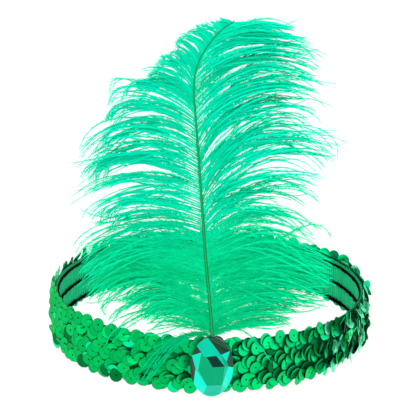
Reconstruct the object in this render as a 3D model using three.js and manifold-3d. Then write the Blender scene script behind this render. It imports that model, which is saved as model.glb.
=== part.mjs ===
// Flapper feather headband: a stretch band covered in sequins, with an oval stone and one upright plume in front.
// Millimetres, +Z up, the wearer faces -Y. The origin is under the middle of the whole part, on the surface it rests on.

import * as THREE from 'three';
import { mergeVertices } from 'three/addons/utils/BufferGeometryUtils.js';
import Module from 'manifold-3d';

const wasm = await Module();
wasm.setup();

// Head opening, measured to the inner face of the fabric
const HEAD_HALF_WIDTH = 83;
const HEAD_HALF_DEPTH = 84;

// Clearance kept between two pieces that touch
const CLEARANCE = 0.3;

// Ribbed fabric band
const FABRIC_WALL = 1.2;
const FABRIC_HEIGHT = 25;

// Elastic stitching lines on the inner face
const LINE_HEIGHT = 2;
const LINE_WALL = 0.7;
const LINE_INSET = 2;
const LINE_SEGMENTS = 40;

// Sequins, sewn on as three zigzag chains
const SEQUIN_DIAMETER = 7;
const ZIGZAG_RISE = 1.8;
const ZIGZAG_PERIODS = 66;
const SEQUIN_STAND_OFF = 3;
const SEQUIN_TUCK = 1.6;
const SEQUIN_BASE = 1;
const EDGE_NOTCH = 1.5;
const PRESSED_STAND_OFF = 1.2;

// Oval stone
const STONE_WIDTH = 21.4;
const STONE_HEIGHT = 31.4;
const STONE_DEPTH = 5.6;
const STONE_GIRDLE = 1.4;
const STONE_SIDE_SHIFT = 1.7;
const STONE_LIFT = 1.1;
const TABLE_WIDTH_SHARE = 0.6;
const TABLE_HEIGHT_SHARE = 0.56;
const STONE_FACETS = 8;

// Quill of the plume
const QUILL_BASE_RADIUS = 1.1;
const QUILL_TIP_RADIUS = 0.4;
const QUILL_SIDES = 6;
const QUILL_STEPS = 20;
const QUILL_ROOT_DROP = 24;

// Plume: locks of barbs on a thin backing behind the quill
const PLUME_HEIGHT = 156;
const PLUME_REACH = 62;
const BACKING_WIDTH = 2.4;
const BACKING_WALL = 1.1;
const LOCKS_PER_SIDE = 23;
const LOCK_STEPS = 5;
const LOCK_WIDTH = 8;
const LOCK_WALL = 1.1;
const LOCK_TIP_SHARE = 0.1;
const LOCK_LENGTHS = [1, 0.88, 0.95];
const LOCK_ROOT_SHARE = 0.1;
const LOCK_TAPER_START = 0.4;
const LOCK_TOP_NARROWING = 0.4;
const LOCK_SPREAD = 7;
const PLUME_LEAN = 7;
const DRAPE_HEIGHT = 22;
const DRAPE_CLEARANCE = 1.4;

// Sizes that follow from those above
const SEQUIN_RADIUS = SEQUIN_DIAMETER / 2;
const FABRIC_BOTTOM = SEQUIN_RADIUS + ZIGZAG_RISE - LINE_INSET;
const LINE_SPACING = (FABRIC_HEIGHT - 2 * LINE_INSET) / 2;
const CHAIN_HEIGHTS = [0, 1, 2].map((chain) => FABRIC_BOTTOM + LINE_INSET + chain * LINE_SPACING);
const BAND_TOP = CHAIN_HEIGHTS[2] + ZIGZAG_RISE + SEQUIN_RADIUS;
const COVER_INNER = FABRIC_WALL + CLEARANCE;
const COVER_OUTER = COVER_INNER + SEQUIN_STAND_OFF;
const STONE_CENTRE_HEIGHT = STONE_HEIGHT / 2 + STONE_LIFT;
const QUILL_FRONT = HEAD_HALF_DEPTH + COVER_INNER + PRESSED_STAND_OFF + CLEARANCE + QUILL_BASE_RADIUS;
const STONE_BACK = QUILL_FRONT + QUILL_BASE_RADIUS + CLEARANCE;

// The quill's course: up as a share of the plume's height, across as a share of its reach
const QUILL_COURSE = [
  { up: 0.012, across: 0.026 },
  { up: 0.124, across: 0.002 },
  { up: 0.257, across: -0.033 },
  { up: 0.476, across: -0.078 },
  { up: 0.7, across: -0.124 },
  { up: 0.78, across: -0.14 },
  { up: 0.84, across: -0.128 },
  { up: 0.9, across: -0.073 },
  { up: 0.965, across: 0.045 },
  { up: 1, across: 0.16 },
];

// Locks on each side: root and rise as shares of the plume's height, reach and arch as shares of its reach
const LEFT_LOCKS = [
  { root: 0.03, reach: 0.66, rise: -0.14, arch: 0.12 },
  { root: 0.1, reach: 0.86, rise: -0.12, arch: 0.14 },
  { root: 0.2, reach: 0.93, rise: -0.08, arch: 0.14 },
  { root: 0.34, reach: 1.02, rise: -0.05, arch: 0.16 },
  { root: 0.44, reach: 0.94, rise: 0.01, arch: 0.2 },
  { root: 0.58, reach: 0.92, rise: 0.07, arch: 0.2 },
  { root: 0.7, reach: 0.62, rise: 0.06, arch: 0.16 },
  { root: 0.8, reach: 0.38, rise: 0.05, arch: 0.1 },
  { root: 0.9, reach: 0.24, rise: 0.03, arch: 0.06 },
  { root: 0.97, reach: 0.24, rise: 0.01, arch: 0.02 },
];
const RIGHT_LOCKS = [
  { root: 0.03, reach: 0.62, rise: 0.0, arch: 0.14 },
  { root: 0.1, reach: 0.84, rise: 0.02, arch: 0.18 },
  { root: 0.2, reach: 0.95, rise: 0.05, arch: 0.18 },
  { root: 0.32, reach: 1.0, rise: 0.09, arch: 0.2 },
  { root: 0.42, reach: 1.04, rise: 0.13, arch: 0.24 },
  { root: 0.56, reach: 1.03, rise: 0.14, arch: 0.26 },
  { root: 0.7, reach: 0.95, rise: 0.15, arch: 0.26 },
  { root: 0.8, reach: 0.86, rise: 0.14, arch: 0.24 },
  { root: 0.9, reach: 0.72, rise: 0.08, arch: 0.14 },
  { root: 0.97, reach: 0.52, rise: 0.02, arch: 0.03 },
];

// A point on the band: turn is 0 in front and grows towards +X, out is measured from the fabric's inner face
function bandPoint(turn, out, height) {
  const angle = turn * 2 * Math.PI;
  const side = Math.sin(angle);
  const front = -Math.cos(angle);
  const normal = new THREE.Vector2(side * HEAD_HALF_DEPTH, front * HEAD_HALF_WIDTH).normalize();
  return new THREE.Vector3(
    side * HEAD_HALF_WIDTH + normal.x * out,
    front * HEAD_HALF_DEPTH + normal.y * out,
    height,
  );
}

// The closed body through a row of equal rings of points; a loop joins its last ring to its first
function skin(rings, loop) {
  const count = rings[0].length;
  const positions = rings.flat().flatMap((point) => [point.x, point.y, point.z]);
  const index = [];
  const spans = loop ? rings.length : rings.length - 1;
  for (let r = 0; r < spans; r += 1) {
    const here = r * count;
    const next = ((r + 1) % rings.length) * count;
    for (let k = 0; k < count; k += 1) {
      const after = (k + 1) % count;
      index.push(here + k, next + k, next + after, here + k, next + after, here + after);
    }
  }
  if (!loop) {
    const last = (rings.length - 1) * count;
    for (let k = 1; k < count - 1; k += 1) {
      index.push(0, k, k + 1, last, last + k + 1, last + k);
    }
  }
  const geometry = new THREE.BufferGeometry();
  geometry.setAttribute('position', new THREE.Float32BufferAttribute(positions, 3));
  geometry.setIndex(index);
  return facedOutward(geometry);
}

// Turns every triangle over if the body's signed volume is negative
function facedOutward(geometry) {
  const position = geometry.getAttribute('position');
  const index = Array.from(geometry.getIndex().array);
  const [a, b, c] = [new THREE.Vector3(), new THREE.Vector3(), new THREE.Vector3()];
  let volume = 0;
  for (let i = 0; i < index.length; i += 3) {
    a.fromBufferAttribute(position, index[i]);
    b.fromBufferAttribute(position, index[i + 1]);
    c.fromBufferAttribute(position, index[i + 2]);
    volume += a.dot(b.cross(c));
  }
  if (volume < 0) {
    index.reverse();
    geometry.setIndex(index);
  }
  return geometry;
}

// A ring round the head with a rectangular section
function bandRing(innerOut, outerOut, bottom, top, segments) {
  const rings = [];
  for (let s = 0; s < segments; s += 1) {
    const turn = (s + 0.5) / segments;
    rings.push([
      bandPoint(turn, innerOut, bottom),
      bandPoint(turn, outerOut, bottom),
      bandPoint(turn, outerOut, top),
      bandPoint(turn, innerOut, top),
    ]);
  }
  return skin(rings, true);
}

function fabricBand() {
  return bandRing(0, FABRIC_WALL, FABRIC_BOTTOM, FABRIC_BOTTOM + FABRIC_HEIGHT, ZIGZAG_PERIODS);
}

function elasticLine(height) {
  const outer = -CLEARANCE;
  return bandRing(outer - LINE_WALL, outer, height - LINE_HEIGHT / 2, height + LINE_HEIGHT / 2, LINE_SEGMENTS);
}

// Three columns of points run up each zigzag period: a sequin's raised side, its tucked side and the gap after it.
// Where they stand is a share of the period, and how far they stand out is from the cover's inner face.
const ROW_LINE = [
  { at: -0.42, out: SEQUIN_STAND_OFF, notch: 0 },
  { at: 0.36, out: SEQUIN_TUCK, notch: 0 },
  { at: 0.48, out: SEQUIN_BASE, notch: 0 },
];
const EDGE_LINE = [
  { at: -0.2, out: SEQUIN_TUCK, notch: 0 },
  { at: 0.2, out: SEQUIN_BASE, notch: 0 },
  { at: 0.48, out: SEQUIN_BASE, notch: EDGE_NOTCH },
];
const VALLEY_LINE = [
  { at: -0.3, out: SEQUIN_BASE, notch: 0 },
  { at: 0.2, out: SEQUIN_BASE, notch: 0 },
  { at: 0.48, out: SEQUIN_BASE, notch: 0 },
];

// The lines that run round the cover, from the bottom edge to the top edge; phase staggers every second row
function coverLines() {
  const lines = [{ columns: EDGE_LINE, height: 0, phase: 0, inward: 1 }];
  CHAIN_HEIGHTS.forEach((height, chain) => {
    lines.push({ columns: ROW_LINE, height: height - ZIGZAG_RISE, phase: 0, inward: 0 });
    lines.push({ columns: ROW_LINE, height: height + ZIGZAG_RISE, phase: 0.5, inward: 0 });
    if (chain < CHAIN_HEIGHTS.length - 1) {
      lines.push({ columns: VALLEY_LINE, height: height + LINE_SPACING / 2, phase: 0.25, inward: 0 });
    }
  });
  lines.push({ columns: EDGE_LINE, height: BAND_TOP, phase: 0.5, inward: -1 });
  return lines;
}

// Sequins lie pressed flat under the stone and under the foot of the plume
function pressedFlat(point) {
  const across = (point.x - STONE_SIDE_SHIFT) / (STONE_WIDTH / 2);
  const up = (point.z - STONE_CENTRE_HEIGHT) / (STONE_HEIGHT / 2);
  const underStone = across * across + up * up < 1;
  const underFoot = Math.abs(across) < 0.6 && up > 0;
  return point.y < 0 && (underStone || underFoot);
}

function sequinCover() {
  const lines = coverLines();
  const innerLines = [lines[lines.length - 1], lines[0]];
  const rings = [];
  for (let period = 0; period < ZIGZAG_PERIODS; period += 1) {
    for (let column = 0; column < ROW_LINE.length; column += 1) {
      const place = (line, standOff) => {
        const { at, notch } = line.columns[column];
        const turn = (period + line.phase + at) / ZIGZAG_PERIODS;
        return bandPoint(turn, COVER_INNER + standOff, line.height + line.inward * notch);
      };
      const outside = lines.map((line) => {
        const point = place(line, line.columns[column].out);
        return pressedFlat(point) ? place(line, Math.min(line.columns[column].out, PRESSED_STAND_OFF)) : point;
      });
      rings.push([...outside, ...innerLines.map((line) => place(line, 0))]);
    }
  }
  return skin(rings, true);
}

// Oval stone with a flat back, a girdle, an eight-sided table and three facets round each table corner
function stone() {
  const oval = (widthShare, heightShare, count, shift, depth) => {
    const points = [];
    for (let k = 0; k < count; k += 1) {
      const angle = ((k + shift) / count) * 2 * Math.PI;
      points.push(new THREE.Vector3(
        (Math.sin(angle) * widthShare * STONE_WIDTH) / 2,
        -depth,
        (Math.cos(angle) * heightShare * STONE_HEIGHT) / 2,
      ));
    }
    return points;
  };
  const rim = STONE_FACETS * 2;
  const points = [
    ...oval(1, 1, rim, 0, 0),
    ...oval(1, 1, rim, 0, STONE_GIRDLE),
    ...oval(TABLE_WIDTH_SHARE, TABLE_HEIGHT_SHARE, STONE_FACETS, 0.5, STONE_DEPTH),
  ];
  const index = [];
  for (let k = 0; k < rim; k += 1) {
    const after = (k + 1) % rim;
    index.push(k, rim + k, rim + after, k, rim + after, after);
    if (k > 0 && after > 0) index.push(0, k, after);
  }
  const table = 2 * rim;
  for (let k = 0; k < STONE_FACETS; k += 1) {
    const corner = table + k;
    const before = table + ((k + STONE_FACETS - 1) % STONE_FACETS);
    const middle = rim + 2 * k;
    const left = rim + ((2 * k + 1) % rim);
    const far = rim + ((2 * k + 2) % rim);
    index.push(middle, before, corner, middle, corner, left, left, corner, far);
    if (k > 0 && k < STONE_FACETS - 1) index.push(table, corner + 1, corner);
  }
  const positions = points.flatMap((point) => [point.x, point.y, point.z]);
  const geometry = new THREE.BufferGeometry();
  geometry.setAttribute('position', new THREE.Float32BufferAttribute(positions, 3));
  geometry.setIndex(index);
  return facedOutward(geometry);
}

// How far the quill leans back at a share of its height: upright at the foot, furthest back near the shoulder
function leanAt(share) {
  return PLUME_LEAN * Math.sin(Math.PI * Math.min(Math.max(share, 0), 1) * 0.75);
}

// The quill's centre line, from its foot behind the stone to the tip
const quillCurve = new THREE.CatmullRomCurve3([
  new THREE.Vector3(STONE_SIDE_SHIFT, -QUILL_FRONT, BAND_TOP - QUILL_ROOT_DROP),
  new THREE.Vector3(STONE_SIDE_SHIFT * 0.8, -QUILL_FRONT, BAND_TOP - QUILL_ROOT_DROP / 2),
  ...QUILL_COURSE.map(({ up, across }) => new THREE.Vector3(
    across * PLUME_REACH,
    leanAt(up) - QUILL_FRONT,
    BAND_TOP + up * PLUME_HEIGHT,
  )),
], false, 'catmullrom', 0.5);
const quillSamples = quillCurve.getSpacedPoints(400);

// The quill's point at a share of the plume's height
function quillAt(share) {
  const height = BAND_TOP + share * PLUME_HEIGHT;
  return quillSamples.find((point) => point.z >= height) ?? quillSamples[quillSamples.length - 1];
}

function quillRadius(share) {
  return THREE.MathUtils.lerp(QUILL_BASE_RADIUS, QUILL_TIP_RADIUS, Math.min(Math.max(share, 0), 1));
}

// A body along a row of points, with a flat section given by corners of { wide, deep }, scaled at each point
function strip(points, corners, scaleAt) {
  const rings = points.map((point, i) => {
    const ahead = points[Math.min(i + 1, points.length - 1)];
    const behind = points[Math.max(i - 1, 0)];
    const along = new THREE.Vector3().subVectors(ahead, behind).normalize();
    const wide = new THREE.Vector3(along.z, 0, -along.x).normalize();
    const deep = new THREE.Vector3().crossVectors(along, wide);
    const scale = scaleAt(i / (points.length - 1));
    return corners.map((corner) => point.clone()
      .addScaledVector(wide, corner.wide * scale.wide)
      .addScaledVector(deep, corner.deep * scale.deep));
  });
  return skin(rings, false);
}

function quill() {
  const corners = [];
  for (let k = 0; k < QUILL_SIDES; k += 1) {
    const angle = (k / QUILL_SIDES) * 2 * Math.PI;
    corners.push({ wide: Math.cos(angle), deep: Math.sin(angle) });
  }
  const foot = -QUILL_ROOT_DROP / PLUME_HEIGHT;
  return strip(quillCurve.getSpacedPoints(QUILL_STEPS), corners, (t) => {
    const radius = quillRadius(THREE.MathUtils.lerp(foot, 1, t));
    return { wide: radius, deep: radius };
  });
}

// A point of the backing, behind the quill at a share of the plume's height
function backingAt(share) {
  const point = quillAt(share).clone();
  point.y += quillRadius(share) + CLEARANCE + BACKING_WALL / 2;
  return point;
}

function backing() {
  const points = [];
  const foot = CLEARANCE / PLUME_HEIGHT;
  for (let s = 0; s <= QUILL_STEPS; s += 1) {
    points.push(backingAt(THREE.MathUtils.lerp(foot, 1, s / QUILL_STEPS)));
  }
  const corners = [{ wide: -1, deep: -1 }, { wide: 1, deep: -1 }, { wide: 1, deep: 1 }, { wide: -1, deep: 1 }];
  return strip(points, corners, (t) => ({
    wide: THREE.MathUtils.lerp(BACKING_WIDTH, BACKING_WALL, t) / 2,
    deep: BACKING_WALL / 2,
  }));
}

// A row of a lock table at any root, read between its two neighbours
function lockRow(table, root) {
  const upper = Math.max(1, table.findIndex((row) => row.root >= root));
  const [low, high] = [table[upper - 1], table[upper]];
  const t = (root - low.root) / (high.root - low.root);
  const read = (name) => THREE.MathUtils.lerp(low[name], high[name], t);
  return { root, reach: read('reach'), rise: read('rise'), arch: read('arch') };
}

// Where the lower locks hang: just in front of the band's own curve
function drapeFront(x) {
  const halfWidth = HEAD_HALF_WIDTH + COVER_OUTER + DRAPE_CLEARANCE + LOCK_WALL;
  const halfDepth = HEAD_HALF_DEPTH + COVER_OUTER + DRAPE_CLEARANCE + LOCK_WALL;
  return -halfDepth * Math.sqrt(Math.max(0, 1 - (x / halfWidth) ** 2));
}

// One lock: a flat blade that leaves the backing, arches over and thins to its tip
function lock(row, side, number) {
  const start = backingAt(row.root);
  const reach = side * row.reach * PLUME_REACH * LOCK_LENGTHS[number % LOCK_LENGTHS.length];
  const rise = row.rise * PLUME_HEIGHT;
  const arch = row.arch * PLUME_REACH;
  const sway = (number % 2 ? 1 : row.root - 1) * LOCK_SPREAD;
  const points = [];
  for (let s = 0; s <= LOCK_STEPS; s += 1) {
    const t = (s / LOCK_STEPS) ** 1.5;
    const x = start.x + reach * t;
    const z = start.z + rise * t + arch * Math.sin(Math.PI * t ** 0.8);
    const low = THREE.MathUtils.clamp((BAND_TOP + DRAPE_HEIGHT - z) / DRAPE_HEIGHT, 0, 1);
    const lean = leanAt((z - BAND_TOP) / PLUME_HEIGHT) - leanAt(row.root);
    const free = start.y + lean + sway * t * t;
    const draped = low * THREE.MathUtils.clamp(4 * (t - LOCK_ROOT_SHARE), 0, 1);
    points.push(new THREE.Vector3(x, THREE.MathUtils.lerp(free, drapeFront(x), draped), z));
  }
  const corners = [{ wide: -1, deep: -1 }, { wide: 1, deep: -1 }, { wide: 0, deep: 1 }];
  return strip(points, corners, (t) => {
    const taper = Math.max(0, (t - LOCK_TAPER_START) / (1 - LOCK_TAPER_START));
    const fade = THREE.MathUtils.lerp(1, LOCK_TIP_SHARE, taper);
    return {
      wide: (LOCK_WIDTH / 2) * (1 - LOCK_TOP_NARROWING * row.root) * Math.min(0.5 + 2 * t, 1) * fade,
      deep: (LOCK_WALL / 2) * Math.max(fade, 0.4),
    };
  });
}

function toManifold(geometry) {
  const merged = mergeVertices(geometry);
  return new wasm.Manifold(new wasm.Mesh({
    numProp: 3,
    vertProperties: new Float32Array(merged.getAttribute('position').array),
    triVerts: new Uint32Array(merged.getIndex().array),
  }));
}

function fromManifold(solid) {
  const mesh = solid.getMesh();
  const geometry = new THREE.BufferGeometry();
  geometry.setAttribute('position', new THREE.Float32BufferAttribute(mesh.vertProperties, 3));
  geometry.setIndex(Array.from(mesh.triVerts));
  return geometry;
}

// The outer skin alone: small pockets shut in between locks are filled
function withoutPockets(solid) {
  const shells = solid.decompose();
  return shells.reduce((largest, shell) => (shell.volume() > largest.volume() ? shell : largest));
}

// The plume: every lock of both sides joined to the backing
function plume() {
  let solid = toManifold(backing());
  const sides = [{ side: -1, table: LEFT_LOCKS }, { side: 1, table: RIGHT_LOCKS }];
  for (const { side, table } of sides) {
    const first = table[0].root;
    const last = table[table.length - 1].root;
    for (let k = 0; k < LOCKS_PER_SIDE; k += 1) {
      const root = THREE.MathUtils.lerp(first, last, k / (LOCKS_PER_SIDE - 1));
      solid = solid.add(toManifold(lock(lockRow(table, root), side, k)));
    }
  }
  return fromManifold(withoutPockets(solid));
}

const fabricGreen = { color: 0x1fae6c, roughness: 0.85, metalness: 0 };
const elasticBlack = { color: 0x101410, roughness: 0.9, metalness: 0 };
const sequinGreen = { color: 0x00b84f, roughness: 0.3, metalness: 0.6 };
const stoneGreen = { color: 0x00a87c, roughness: 0.1, metalness: 0.1 };
const quillGreen = { color: 0x149a50, roughness: 0.55, metalness: 0 };
const plumeGreen = { color: 0x00dea0, roughness: 0.8, metalness: 0 };

// A named mesh with its own material
function piece(name, geometry, look) {
  const mesh = new THREE.Mesh(geometry, new THREE.MeshStandardMaterial({ ...look, flatShading: true }));
  mesh.name = name;
  return mesh;
}

const headband = new THREE.Group();
headband.add(piece('band_fabric', fabricBand(), fabricGreen));
const lineNames = ['elastic_line_bottom', 'elastic_line_middle', 'elastic_line_top'];
lineNames.forEach((name, k) => headband.add(piece(name, elasticLine(CHAIN_HEIGHTS[k]), elasticBlack)));
headband.add(piece('sequin_cover', sequinCover(), sequinGreen));
headband.add(piece('quill', quill(), quillGreen));
headband.add(piece('plume', plume(), plumeGreen));

const gem = piece('gem', stone(), stoneGreen);
gem.position.set(STONE_SIDE_SHIFT, -STONE_BACK, STONE_CENTRE_HEIGHT);
headband.add(gem);

// The stone and plume stand out in front, so the band moves back until the whole part is centred on the origin
const extent = new THREE.Box3().setFromObject(headband);
headband.position.set(-(extent.min.x + extent.max.x) / 2, -(extent.min.y + extent.max.y) / 2, 0);

const part = new THREE.Group();
part.add(headband);

export default part;
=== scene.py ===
# Looks of a flapper feather headband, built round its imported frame. Metres, +Z up, the front faces -Y.
import math

import bpy
import numpy as np
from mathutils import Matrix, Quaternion, Vector


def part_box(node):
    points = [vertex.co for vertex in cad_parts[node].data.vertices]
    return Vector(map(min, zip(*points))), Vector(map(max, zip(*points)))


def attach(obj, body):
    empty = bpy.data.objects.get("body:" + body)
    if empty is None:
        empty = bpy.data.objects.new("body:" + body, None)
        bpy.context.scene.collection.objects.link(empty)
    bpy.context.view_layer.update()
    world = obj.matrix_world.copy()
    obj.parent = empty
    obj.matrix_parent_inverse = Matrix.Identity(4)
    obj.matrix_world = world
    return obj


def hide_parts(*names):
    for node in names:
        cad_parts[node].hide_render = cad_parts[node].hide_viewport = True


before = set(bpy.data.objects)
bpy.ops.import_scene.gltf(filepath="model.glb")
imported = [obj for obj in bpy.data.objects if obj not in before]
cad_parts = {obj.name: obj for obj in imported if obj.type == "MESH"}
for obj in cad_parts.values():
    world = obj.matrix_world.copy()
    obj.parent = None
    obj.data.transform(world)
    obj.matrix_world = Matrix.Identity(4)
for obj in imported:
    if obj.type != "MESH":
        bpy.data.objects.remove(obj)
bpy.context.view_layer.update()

MM = 0.001
BODY = "root"

# Sizes read from the frame
fabric_low, fabric_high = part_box("band_fabric")
cover_low, cover_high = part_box("sequin_cover")
gem_low, gem_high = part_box("gem")
quill_low, quill_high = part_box("quill")
plume_low, plume_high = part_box("plume")
RING_Y = (fabric_low.y + fabric_high.y) / 2
BAND_TOP = cover_high.z

# Sizes of the band, the same as in the frame
FABRIC_WALL = 1.2 * MM
CLEARANCE = 0.3 * MM
HEAD_HALF_WIDTH = 83 * MM
HEAD_HALF_DEPTH = 84 * MM
LINE_INSET = 2 * MM
LINE_HEIGHTS = [
    fabric_low.z + LINE_INSET,
    (fabric_low.z + fabric_high.z) / 2,
    fabric_high.z - LINE_INSET,
]

# Camera, fitted to the photograph's outlines
FRAME_PIXELS = 416
FOCAL_PIXELS = 1500
SENSOR_WIDTH = 36.0
CAMERA_PLACE = Vector((-1.22 * MM, RING_Y - 777.7 * MM, 303.4 * MM))
CAMERA_PITCH_DEG = 16.6
CAMERA_ROLL_DEG = 0.78


def band_axes(turn):
    """The outward and sideways directions of the band; turn is 0 in front and grows towards +X."""
    angle = np.asarray(turn, float) * 2 * math.pi
    side, front = np.sin(angle), -np.cos(angle)
    outward = np.stack([side * HEAD_HALF_DEPTH, front * HEAD_HALF_WIDTH, side * 0], -1)
    outward /= np.linalg.norm(outward, axis=-1, keepdims=True)
    sideways = np.stack([-outward[..., 1], outward[..., 0], side * 0], -1)
    return outward, sideways


def band_point(turn, out, height):
    """A point of the band; out is measured from the fabric's inner face."""
    angle = np.asarray(turn, float) * 2 * math.pi
    outward, _ = band_axes(turn)
    place = np.stack(
        [np.sin(angle) * HEAD_HALF_WIDTH, RING_Y - np.cos(angle) * HEAD_HALF_DEPTH, angle * 0], -1
    )
    place = place + outward * np.asarray(out, float)[..., None]
    place[..., 2] = height
    return place


# Mesh helpers
def mesh_piece(name, points, faces, material, smooth=True, tints=None):
    """A mesh object from arrays; tints is a number, a colour or a colour and alpha for each point."""
    mesh = bpy.data.meshes.new(name)
    faces = faces.tolist() if isinstance(faces, np.ndarray) else faces
    mesh.from_pydata(np.asarray(points).reshape(-1, 3).tolist(), [], faces)
    if tints is not None:
        layer = mesh.color_attributes.new("tint", "FLOAT_COLOR", "POINT")
        colours = np.ones((len(mesh.vertices), 4), np.float32)
        given = np.asarray(tints, np.float32).reshape(len(mesh.vertices), -1)
        colours[:, : max(given.shape[1], 3)] = given
        layer.data.foreach_set("color", colours.ravel())
    mesh.materials.append(material)
    mesh.polygons.foreach_set("use_smooth", [smooth] * len(mesh.polygons))
    mesh.validate()
    piece = bpy.data.objects.new(name, mesh)
    bpy.context.scene.collection.objects.link(piece)
    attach(piece, BODY)
    return piece


def grid_faces(rows, columns, loop_rows, loop_columns):
    """Quads of a grid of points numbered row by row."""
    r = np.arange(rows if loop_rows else rows - 1)[:, None]
    c = np.arange(columns if loop_columns else columns - 1)[None, :]
    after_r, after_c = (r + 1) % rows, (c + 1) % columns
    quads = [r * columns + c, after_r * columns + c, after_r * columns + after_c, r * columns + after_c]
    return np.stack([np.broadcast_to(q, (len(r), c.shape[1])) for q in quads], -1).reshape(-1, 4)


def tubes(paths, radii, sides):
    """Closed tapered tubes along many paths at once: paths is (count, steps, 3), radii is (count, steps)."""
    count, steps, _ = paths.shape
    along = np.gradient(paths, axis=1)
    along /= np.linalg.norm(along, axis=-1, keepdims=True) + 1e-12
    up = np.array([0.0, 1.0, 0.0])
    across = np.cross(along, up)
    across /= np.linalg.norm(across, axis=-1, keepdims=True) + 1e-12
    over = np.cross(across, along)
    angles = np.arange(sides) / sides * 2 * math.pi
    ring = (
        across[:, :, None] * np.cos(angles)[None, None, :, None]
        + over[:, :, None] * np.sin(angles)[None, None, :, None]
    )
    points = paths[:, :, None] + ring * radii[:, :, None, None]
    one = grid_faces(steps, sides, False, True)
    offsets = np.arange(count)[:, None, None] * steps * sides
    walls = (one[None] + offsets).reshape(-1, 4).tolist()
    start = np.arange(sides)[::-1]
    end = (steps - 1) * sides + np.arange(sides)
    caps = [(cap[None] + offsets[:, 0]).tolist() for cap in (start, end)]
    return points.reshape(-1, 3), walls + caps[0] + caps[1]


# Material helpers
def new_material(name):
    material = bpy.data.materials.new(name)
    material.use_nodes = True
    return material, material.node_tree.nodes, material.node_tree.links


def tinted(nodes, links, dark, light):
    """The shader's base colour, mixed from dark to light by the mesh's own tint."""
    attribute = nodes.new("ShaderNodeVertexColor")
    attribute.layer_name = "tint"
    mix = nodes.new("ShaderNodeMix")
    mix.data_type = "RGBA"
    mix.inputs["A"].default_value = (*dark, 1)
    mix.inputs["B"].default_value = (*light, 1)
    links.new(attribute.outputs["Color"], mix.inputs["Factor"])
    links.new(mix.outputs["Result"], nodes["Principled BSDF"].inputs["Base Color"])


def coloured(nodes, links):
    """The shader's base colour, straight from the mesh's own tint."""
    attribute = nodes.new("ShaderNodeVertexColor")
    attribute.layer_name = "tint"
    links.new(attribute.outputs["Color"], nodes["Principled BSDF"].inputs["Base Color"])


def bumped(nodes, links, height, strength, distance):
    bump = nodes.new("ShaderNodeBump")
    bump.inputs["Strength"].default_value = strength
    bump.inputs["Distance"].default_value = distance
    links.new(height, bump.inputs["Height"])
    links.new(bump.outputs["Normal"], nodes["Principled BSDF"].inputs["Normal"])


def noise(nodes, links, scale, detail):
    place = nodes.new("ShaderNodeTexCoord")
    texture = nodes.new("ShaderNodeTexNoise")
    texture.inputs["Scale"].default_value = scale
    texture.inputs["Detail"].default_value = detail
    links.new(place.outputs["Object"], texture.inputs["Vector"])
    return texture


def fabric_material():
    material, nodes, links = new_material("ribbed_fabric")
    shader = nodes["Principled BSDF"]
    shader.inputs["Roughness"].default_value = 0.8
    shader.inputs["Specular IOR Level"].default_value = 0.2
    tinted(nodes, links, (0.0, 0.02, 0.008), (0.002, 0.62, 0.25))
    bumped(nodes, links, noise(nodes, links, 2600, 3).outputs["Fac"], 0.35, 0.0002)
    return material


def elastic_material():
    material, nodes, links = new_material("black_elastic")
    shader = nodes["Principled BSDF"]
    shader.inputs["Base Color"].default_value = (0.0008, 0.001, 0.0008, 1)
    shader.inputs["Roughness"].default_value = 0.85
    shader.inputs["Specular IOR Level"].default_value = 0.06
    bumped(nodes, links, noise(nodes, links, 3000, 2).outputs["Fac"], 0.4, 0.0001)
    return material


# Painted shade: crevices between sequins go dark where discs close them in within a short reach, and glinting
# discs glow with a painted glow
CREVICE_REACH = 1.3 * MM
CREVICE_CLOSED = 0.6
CREVICE_OPEN = 0.84
PAINTED_CREVICE_SHADE = (0.0, 0.004, 0.001, 1)
GLINT_GLOW = 0.32


def sequin_material():
    material, nodes, links = new_material("sequin_film")
    shader = nodes["Principled BSDF"]
    shader.inputs["Metallic"].default_value = 0.8
    shader.inputs["Roughness"].default_value = 0.38
    shader.inputs["Specular Tint"].default_value = (0.1, 1.0, 0.5, 1)
    attribute = nodes.new("ShaderNodeVertexColor")
    attribute.layer_name = "tint"
    # Ambient occlusion darkens the film in its crevices as painted shade; the tint's alpha lifts it
    crevice = nodes.new("ShaderNodeAmbientOcclusion")
    crevice.samples = 8
    crevice.inputs["Distance"].default_value = CREVICE_REACH
    open_share = nodes.new("ShaderNodeMapRange")
    open_share.inputs["From Min"].default_value = CREVICE_CLOSED
    open_share.inputs["From Max"].default_value = CREVICE_OPEN
    lit = nodes.new("ShaderNodeMath")
    lit.operation = "MAXIMUM"
    mix = nodes.new("ShaderNodeMix")
    mix.data_type = "RGBA"
    mix.inputs["A"].default_value = PAINTED_CREVICE_SHADE
    links.new(crevice.outputs["AO"], open_share.inputs["Value"])
    links.new(open_share.outputs["Result"], lit.inputs[0])
    links.new(attribute.outputs["Alpha"], lit.inputs[1])
    links.new(lit.outputs["Value"], mix.inputs["Factor"])
    # Discs glow by their alpha: painted glints, though the film is no lamp
    glow = nodes.new("ShaderNodeMath")
    glow.operation = "MULTIPLY"
    glow.inputs[1].default_value = GLINT_GLOW
    links.new(attribute.outputs["Alpha"], glow.inputs[0])
    links.new(glow.outputs["Value"], shader.inputs["Emission Strength"])
    links.new(attribute.outputs["Color"], shader.inputs["Emission Color"])
    links.new(attribute.outputs["Color"], mix.inputs["B"])
    links.new(mix.outputs["Result"], shader.inputs["Base Color"])
    bumped(nodes, links, noise(nodes, links, 500, 2).outputs["Fac"], 0.12, 0.0003)
    return material


def thread_material(name, colour, shine):
    material, nodes, links = new_material(name)
    shader = nodes["Principled BSDF"]
    shader.inputs["Specular IOR Level"].default_value = shine
    shader.inputs["Base Color"].default_value = (*colour, 1)
    shader.inputs["Roughness"].default_value = 0.7
    bumped(nodes, links, noise(nodes, links, 4000, 2).outputs["Fac"], 0.3, 0.0001)
    return material


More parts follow.
